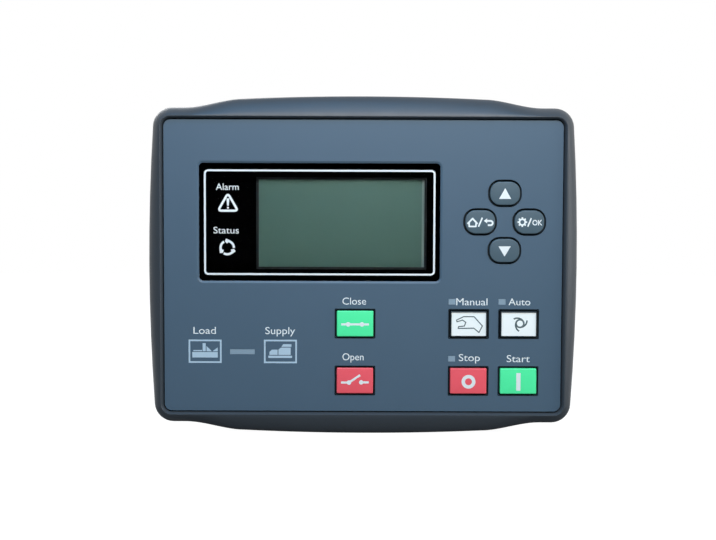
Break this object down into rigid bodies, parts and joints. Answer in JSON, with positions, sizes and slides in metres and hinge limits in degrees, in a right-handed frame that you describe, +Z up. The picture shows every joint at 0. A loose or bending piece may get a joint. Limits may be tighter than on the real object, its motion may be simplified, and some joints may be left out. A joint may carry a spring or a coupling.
{
  "type": "genset controller",
  "caption": "Panel-mount genset controller: crowned frame, recessed keypad with display window, and a stepped rear housing with plug-in terminals.",
  "frame": {"origin": "centre of the panel cut-out, on the mounting panel's front face where the sealing ring lies", "axes": "+X right and +Z up as seen from the front, +Y into the mounting panel; the display faces -Y"},
  "size_m": [0.2104, 0.0455, 0.166],
  "materials": {
    "frame": "fine satin texture",
    "panel": "matt overlay",
    "rubber": "matt",
    "window": "gloss with a printed border",
    "tape": "paper",
    "dark_plastic": "satin",
    "lcd": "satin polariser",
    "guide": "clear moulding",
    "contact_strip": "matt",
    "key_grey": "satin",
    "key_green": "satin",
    "key_red": "satin",
    "key_white": "satin",
    "lamp": "diffusing",
    "board": "solder mask",
    "brass": "turned",
    "steel": "plated",
    "dark_steel": "blackened",
    "blue_plastic": "potted",
    "housing": "fine texture",
    "socket": "satin",
    "plug": "satin"
  },
  "bodies": {
    "controller": {"front_bezel": "frame", "front_panel": "panel", "panel_gasket": "rubber", "display_window": "window", "window_tape": "tape", "lcd_seal": "rubber", "lcd_frame": "dark_plastic", "lcd_glass": "lcd", "lcd_backlight": "guide", "lcd_connector": "contact_strip", "keypad_mat": "rubber", "lamp_manual": "lamp", "lamp_auto": "lamp", "lamp_stop": "lamp", "lamp_link": "lamp", "guide_alarm": "guide", "guide_status": "guide", "indicator_leds": "guide", "display_board": "board", "io_board": "board", "processor": "dark_plastic", "memory_chips": "dark_plastic", "link_header": "dark_plastic", "link_socket": "dark_plastic", "board_spacers": "brass", "board_screws": "steel", "relays": "dark_plastic", "capacitors": "dark_plastic", "current_transformers": "blue_plastic", "cell_holder": "dark_plastic", "coin_cell": "steel", "usb_socket": "steel", "rear_housing": "housing", "rear_cover": "housing", "housing_screws": "dark_steel", "socket_power": "socket", "socket_inputs": "socket", "socket_voltage": "socket", "socket_current": "socket", "socket_sensors": "socket", "plug_power": "plug", "plug_inputs": "plug", "plug_voltage": "plug", "plug_current": "plug", "plug_sensors": "plug", "terminal_pins": "steel", "terminal_screws": "steel"},
    "key_up": {"key_up": "key_grey"},
    "key_down": {"key_down": "key_grey"},
    "key_back": {"key_back": "key_grey"},
    "key_ok": {"key_ok": "key_grey"},
    "key_close": {"key_close": "key_green"},
    "key_open": {"key_open": "key_red"},
    "key_manual": {"key_manual": "key_white"},
    "key_auto": {"key_auto": "key_white"},
    "key_stop": {"key_stop": "key_red"},
    "key_start": {"key_start": "key_green"}
  },
  "joints": [
    {"name": "press_up", "type": "slide", "parent": "controller", "child": "key_up", "axis": [0, 1, 0], "range_m": [0, 0.001], "stiffness_N_per_m": 1200, "deforming": ["keypad_mat"]},
    {"name": "press_down", "type": "slide", "parent": "controller", "child": "key_down", "axis": [0, 1, 0], "range_m": [0, 0.001], "stiffness_N_per_m": 1200, "deforming": ["keypad_mat"]},
    {"name": "press_back", "type": "slide", "parent": "controller", "child": "key_back", "axis": [0, 1, 0], "range_m": [0, 0.001], "stiffness_N_per_m": 1200, "deforming": ["keypad_mat"]},
    {"name": "press_ok", "type": "slide", "parent": "controller", "child": "key_ok", "axis": [0, 1, 0], "range_m": [0, 0.001], "stiffness_N_per_m": 1200, "deforming": ["keypad_mat"]},
    {"name": "press_close", "type": "slide", "parent": "controller", "child": "key_close", "axis": [0, 1, 0], "range_m": [0, 0.001], "stiffness_N_per_m": 1200, "deforming": ["keypad_mat"]},
    {"name": "press_open", "type": "slide", "parent": "controller", "child": "key_open", "axis": [0, 1, 0], "range_m": [0, 0.001], "stiffness_N_per_m": 1200, "deforming": ["keypad_mat"]},
    {"name": "press_manual", "type": "slide", "parent": "controller", "child": "key_manual", "axis": [0, 1, 0], "range_m": [0, 0.001], "stiffness_N_per_m": 1200, "deforming": ["keypad_mat"]},
    {"name": "press_auto", "type": "slide", "parent": "controller", "child": "key_auto", "axis": [0, 1, 0], "range_m": [0, 0.001], "stiffness_N_per_m": 1200, "deforming": ["keypad_mat"]},
    {"name": "press_stop", "type": "slide", "parent": "controller", "child": "key_stop", "axis": [0, 1, 0], "range_m": [0, 0.001], "stiffness_N_per_m": 1200, "deforming": ["keypad_mat"]},
    {"name": "press_start", "type": "slide", "parent": "controller", "child": "key_start", "axis": [0, 1, 0], "range_m": [0, 0.001], "stiffness_N_per_m": 1200, "deforming": ["keypad_mat"]}
  ]
}
